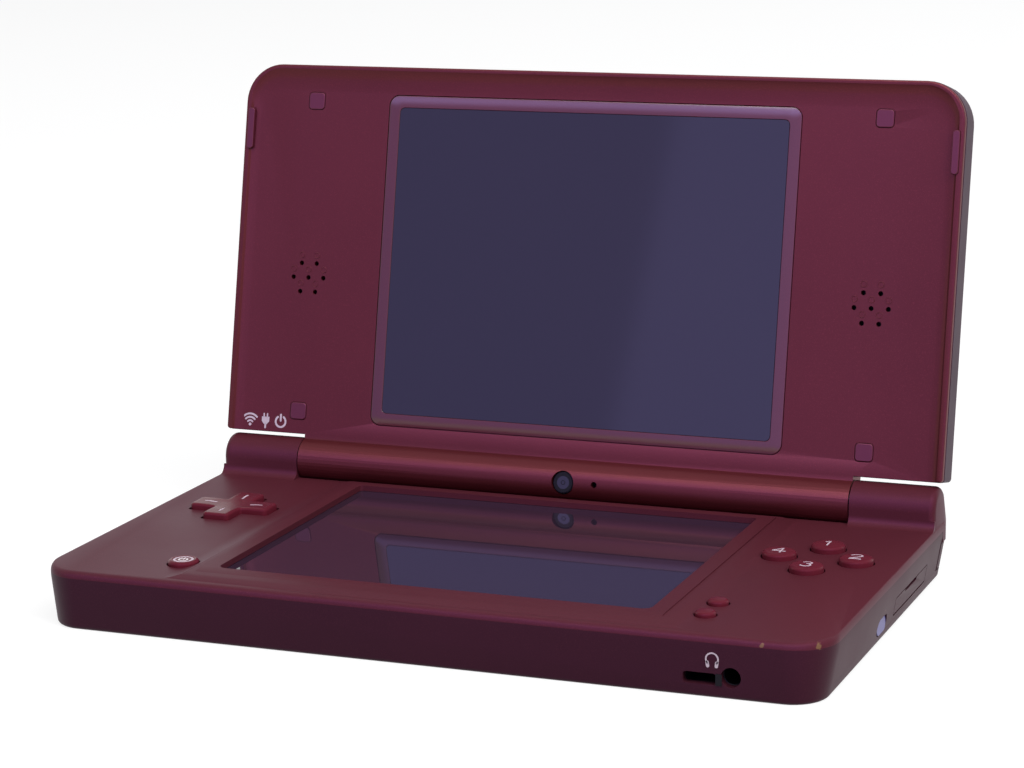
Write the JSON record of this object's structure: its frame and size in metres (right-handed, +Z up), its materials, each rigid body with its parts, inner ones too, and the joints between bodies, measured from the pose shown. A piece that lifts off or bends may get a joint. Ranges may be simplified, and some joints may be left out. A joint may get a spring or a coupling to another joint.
{
  "type": "clamshell handheld game console",
  "caption": "Clamshell handheld game console standing open: hinged lid with upper screen, base with touch screen, directional pad, buttons, card slots and stylus.",
  "frame": {"origin": "centre of the underside of the lower half, on the surface it stands on", "axes": "+X to the user's right along the hinge, +Y from the front edge to the hinge, +Z up"},
  "size_m": [0.1616, 0.1095, 0.1],
  "materials": {
    "deck_wine": "metallic-flecked satin wine-red paint",
    "shell_dark": "fine matt dark wine",
    "cover_violet": "satin wine with a violet sheen",
    "gloss_wine": "gloss, moulded in colour",
    "stylus_violet": "gloss",
    "pad_wine": "matt rubber",
    "rubber": "silicone rubber",
    "black_plastic": "matt",
    "clear_plastic": "clear moulded plastic",
    "glass": "polished",
    "display": "dark display, switched off",
    "steel": "plain",
    "board": "solder mask",
    "cable_amber": "polyimide film"
  },
  "bodies": {
    "base": {"lower_shell": "shell_dark", "deck_shell": "deck_wine", "battery_cover": "shell_dark", "battery_cover_screws": "steel", "case_screws": "steel", "touch_panel": "glass", "lower_display": "display", "lower_display_frame": "steel", "main_board": "board", "radio_board": "board", "battery": "black_plastic", "game_card_slot": "steel", "memory_card_socket": "steel", "headphone_jack": "black_plastic", "charge_socket": "black_plastic", "led_light_guide": "clear_plastic", "dpad_membrane": "rubber", "face_membrane": "rubber", "start_select_membrane": "rubber", "power_membrane": "rubber", "shoulder_pins": "steel", "shoulder_switches": "black_plastic", "volume_switch": "black_plastic", "hinge_unit": "steel", "hinge_tube": "steel", "display_cable": "cable_amber"},
    "lid": {"lid_inner_shell": "deck_wine", "lid_outer_shell": "cover_violet", "upper_lens": "glass", "upper_display": "display", "upper_display_frame": "steel", "speaker_left": "black_plastic", "speaker_right": "black_plastic", "inner_camera": "black_plastic", "camera_window": "glass", "microphone": "steel", "outer_camera": "black_plastic", "outer_camera_window": "glass", "rubber_pads": "pad_wine", "lid_screws": "steel", "lid_bumpers": "pad_wine", "hinge_shaft": "steel"},
    "dpad": {"dpad": "gloss_wine"},
    "dpad_pivot": {"dpad_pivot": "black_plastic"},
    "button_top": {"button_top": "gloss_wine"},
    "button_right": {"button_right": "gloss_wine"},
    "button_bottom": {"button_bottom": "gloss_wine"},
    "button_left": {"button_left": "gloss_wine"},
    "start_button": {"start_button": "gloss_wine"},
    "select_button": {"select_button": "gloss_wine"},
    "power_button": {"power_button": "gloss_wine"},
    "shoulder_left": {"shoulder_left": "shell_dark"},
    "shoulder_right": {"shoulder_right": "shell_dark"},
    "volume_rocker": {"volume_rocker": "shell_dark"},
    "memory_card_door": {"memory_card_door": "shell_dark"},
    "stylus": {"stylus": "stylus_violet"}
  },
  "joints": [
    {"name": "lid_hinge", "type": "hinge", "parent": "base", "child": "lid", "pos_m": [0, 0.0393, 0.0152], "axis": [1, 0, 0], "range_deg": [-52.4, 102.6]},
    {"name": "dpad_rock_up", "type": "hinge", "parent": "base", "child": "dpad_pivot", "pos_m": [-0.06375, 0.0074, 0.0087], "axis": [1, 0, 0], "range_deg": [-1.6, 1.6], "stiffness_Nm_per_rad": 0.3},
    {"name": "dpad_rock_side", "type": "hinge", "parent": "dpad_pivot", "child": "dpad", "pos_m": [-0.06375, 0.0074, 0.0087], "axis": [0, 1, 0], "range_deg": [-1.6, 1.6], "stiffness_Nm_per_rad": 0.3},
    {"name": "press_top", "type": "slide", "parent": "base", "child": "button_top", "axis": [0, 0, -1], "range_m": [0, 0.0006], "stiffness_N_per_m": 900, "springref_m": -0.0004},
    {"name": "press_right", "type": "slide", "parent": "base", "child": "button_right", "axis": [0, 0, -1], "range_m": [0, 0.0006], "stiffness_N_per_m": 900, "springref_m": -0.0004},
    {"name": "press_bottom", "type": "slide", "parent": "base", "child": "button_bottom", "axis": [0, 0, -1], "range_m": [0, 0.0006], "stiffness_N_per_m": 900, "springref_m": -0.0004},
    {"name": "press_left", "type": "slide", "parent": "base", "child": "button_left", "axis": [0, 0, -1], "range_m": [0, 0.0006], "stiffness_N_per_m": 900, "springref_m": -0.0004},
    {"name": "press_start", "type": "slide", "parent": "base", "child": "start_button", "axis": [0, 0, -1], "range_m": [0, 0.0006], "stiffness_N_per_m": 900, "springref_m": -0.0004},
    {"name": "press_select", "type": "slide", "parent": "base", "child": "select_button", "axis": [0, 0, -1], "range_m": [0, 0.0006], "stiffness_N_per_m": 900, "springref_m": -0.0004},
    {"name": "press_power", "type": "slide", "parent": "base", "child": "power_button", "axis": [0, 0, -1], "range_m": [0, 0.0006], "stiffness_N_per_m": 900, "springref_m": -0.0004},
    {"name": "shoulder_left_press", "type": "hinge", "parent": "base", "child": "shoulder_left", "pos_m": [-0.0515, 0.0429, 0.005], "axis": [0, 0, 1], "range_deg": [0, 1.3], "stiffness_Nm_per_rad": 1, "springref_deg": -0.57},
    {"name": "shoulder_right_press", "type": "hinge", "parent": "base", "child": "shoulder_right", "pos_m": [0.0515, 0.0429, 0.005], "axis": [0, 0, -1], "range_deg": [0, 1.3], "stiffness_Nm_per_rad": 1, "springref_deg": -0.57},
    {"name": "volume_rock", "type": "hinge", "parent": "base", "child": "volume_rocker", "pos_m": [-0.07785, 0.01, 0.0048], "axis": [0, 0, 1], "range_deg": [-2.5, 2.5], "stiffness_Nm_per_rad": 0.3},
    {"name": "card_door_hinge", "type": "hinge", "parent": "base", "child": "memory_card_door", "pos_m": [0.07895, 0.0171, 0.0033], "axis": [0, 1, 0], "range_deg": [0, 95]},
    {"name": "stylus_slide", "type": "slide", "parent": "base", "child": "stylus", "axis": [1, 0, 0], "range_m": [0, 0.09]}
  ]
}
